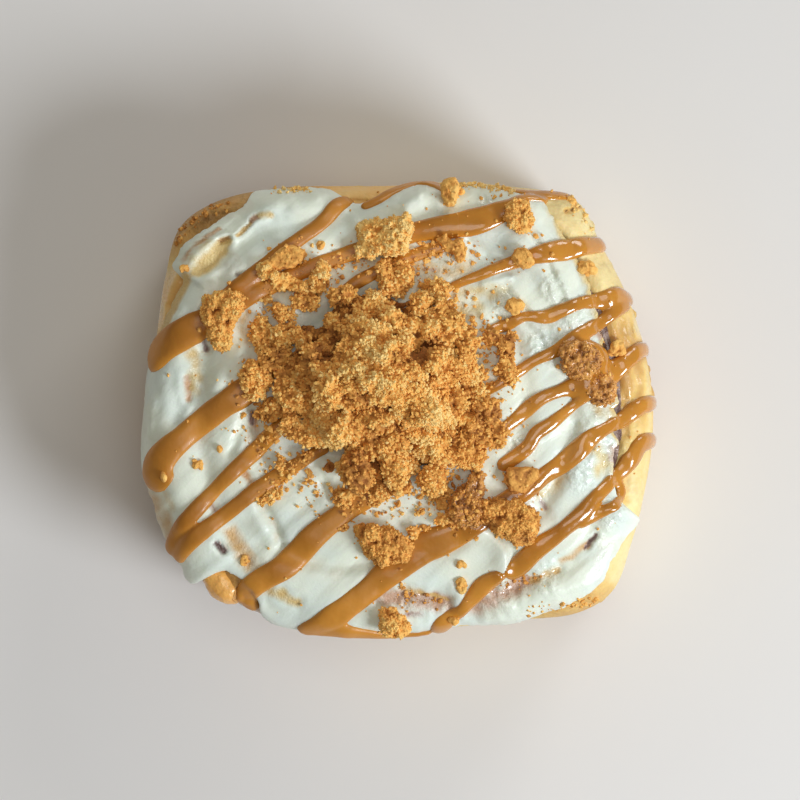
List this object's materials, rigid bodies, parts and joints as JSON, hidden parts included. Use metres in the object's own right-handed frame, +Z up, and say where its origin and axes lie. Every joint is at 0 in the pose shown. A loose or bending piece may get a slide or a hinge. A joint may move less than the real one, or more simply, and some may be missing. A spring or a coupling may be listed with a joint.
{
  "type": "iced cinnamon roll",
  "caption": "Soft rounded-square cinnamon roll with spiral filling, white icing, caramel drizzle, a heap of biscuit crumbs and loose biscuit pieces.",
  "frame": {"origin": "middle of the underside of the roll's bounding box", "axes": "+Z up through the roll, +X along its wider side, as in the picture seen from above with +Y away"},
  "size_m": [0.1112, 0.0996, 0.0603],
  "materials": {
    "dough": "soft matte baked crumb with browned crust",
    "filling": "moist dark cinnamon sugar",
    "icing": "soft satin cream icing with glossy caramel on it",
    "caramel": "glossy thick caramel",
    "biscuit": "dry porous biscuit crumb"
  },
  "bodies": {
    "root": {"dough_roll": "dough", "cinnamon_filling": "filling", "icing_layer": "icing", "crumb_heap": "biscuit", "biscuit_piece_1": "biscuit", "biscuit_piece_2": "biscuit", "biscuit_piece_3": "biscuit", "biscuit_piece_4": "biscuit", "biscuit_piece_5": "biscuit", "biscuit_piece_6": "biscuit", "biscuit_piece_7": "biscuit", "biscuit_piece_8": "biscuit", "biscuit_piece_9": "biscuit", "biscuit_piece_10": "biscuit", "biscuit_piece_11": "biscuit", "biscuit_piece_12": "biscuit", "biscuit_piece_13": "biscuit", "biscuit_piece_14": "biscuit", "biscuit_piece_15": "biscuit"}
  },
  "joints": []
}
